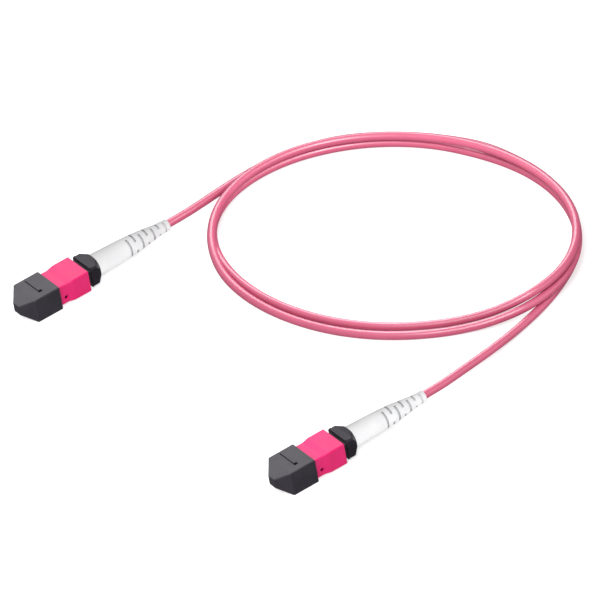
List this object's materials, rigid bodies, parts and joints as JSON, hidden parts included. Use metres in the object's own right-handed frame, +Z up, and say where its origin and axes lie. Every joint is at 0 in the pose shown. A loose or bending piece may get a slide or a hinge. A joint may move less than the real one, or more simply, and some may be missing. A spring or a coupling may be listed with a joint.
{
  "type": "fibre optic patch cable",
  "caption": "Round magenta multi-fibre patch cable laid in an oval coil, with a push-on rectangular connector, white slotted boot and dust cap on each end.",
  "frame": {"origin": "on the floor, at the middle of the box round the two connectors", "axes": "+Z up, +X along both connectors from nose to cable, +Y from the connector b to connector a"},
  "size_m": [0.17, 0.1567, 0.0093],
  "materials": {
    "cap_plastic": "moulded charcoal plastic, fine matte texture",
    "sleeve_plastic": "moulded magenta plastic, satin",
    "housing_plastic": "moulded black plastic",
    "ferrule_plastic": "filled dark plastic, front face polished",
    "spacer_plastic": "natural moulded plastic",
    "grommet_rubber": "soft black rubber",
    "ribbon": "coated fibre ribbon",
    "spring_steel": "bright spring wire",
    "rear_plastic": "moulded black plastic, satin",
    "yarn": "yellow aramid yarn",
    "crimp_metal": "plain crimped metal",
    "boot_rubber": "soft white elastomer, matte",
    "cable_jacket": "extruded magenta jacket, semi-gloss"
  },
  "bodies": {
    "cable": {"plug_housing_a": "housing_plastic", "rear_body_a": "rear_plastic", "aramid_yarn_a": "yarn", "crimp_ring_a": "crimp_metal", "strain_relief_boot_a": "boot_rubber", "ferrule_spring_a": "spring_steel", "coupling_springs_a": "spring_steel", "plug_housing_b": "housing_plastic", "rear_body_b": "rear_plastic", "aramid_yarn_b": "yarn", "crimp_ring_b": "crimp_metal", "strain_relief_boot_b": "boot_rubber", "ferrule_spring_b": "spring_steel", "coupling_springs_b": "spring_steel", "cable_tail_a": "cable_jacket", "cable_coil": "cable_jacket", "cable_tail_b": "cable_jacket"},
    "cap_a": {"dust_cap_a": "cap_plastic"},
    "coupling_a": {"coupling_sleeve_a": "sleeve_plastic"},
    "ferrule_a": {"mt_ferrule_a": "ferrule_plastic", "pin_spacer_a": "spacer_plastic", "ferrule_boot_a": "grommet_rubber", "fibre_ribbon_a": "ribbon"},
    "cap_b": {"dust_cap_b": "cap_plastic"},
    "coupling_b": {"coupling_sleeve_b": "sleeve_plastic"},
    "ferrule_b": {"mt_ferrule_b": "ferrule_plastic", "pin_spacer_b": "spacer_plastic", "ferrule_boot_b": "grommet_rubber", "fibre_ribbon_b": "ribbon"}
  },
  "joints": [
    {"name": "cap_a_pull", "type": "slide", "parent": "cable", "child": "cap_a", "axis": [-1, 0, 0], "range_m": [0, 0.025]},
    {"name": "coupling_a_slide", "type": "slide", "parent": "cable", "child": "coupling_a", "axis": [1, 0, 0], "range_m": [0, 0.001], "stiffness_N_per_m": 150, "deforming": ["coupling_springs_a"]},
    {"name": "ferrule_a_float", "type": "slide", "parent": "cable", "child": "ferrule_a", "axis": [1, 0, 0], "range_m": [0, 0.0005], "stiffness_N_per_m": 100, "deforming": ["ferrule_spring_a"]},
    {"name": "cap_b_pull", "type": "slide", "parent": "cable", "child": "cap_b", "axis": [-1, 0, 0], "range_m": [0, 0.025]},
    {"name": "coupling_b_slide", "type": "slide", "parent": "cable", "child": "coupling_b", "axis": [1, 0, 0], "range_m": [0, 0.001], "stiffness_N_per_m": 150, "deforming": ["coupling_springs_b"]},
    {"name": "ferrule_b_float", "type": "slide", "parent": "cable", "child": "ferrule_b", "axis": [1, 0, 0], "range_m": [0, 0.0005], "stiffness_N_per_m": 100, "deforming": ["ferrule_spring_b"]}
  ]
}
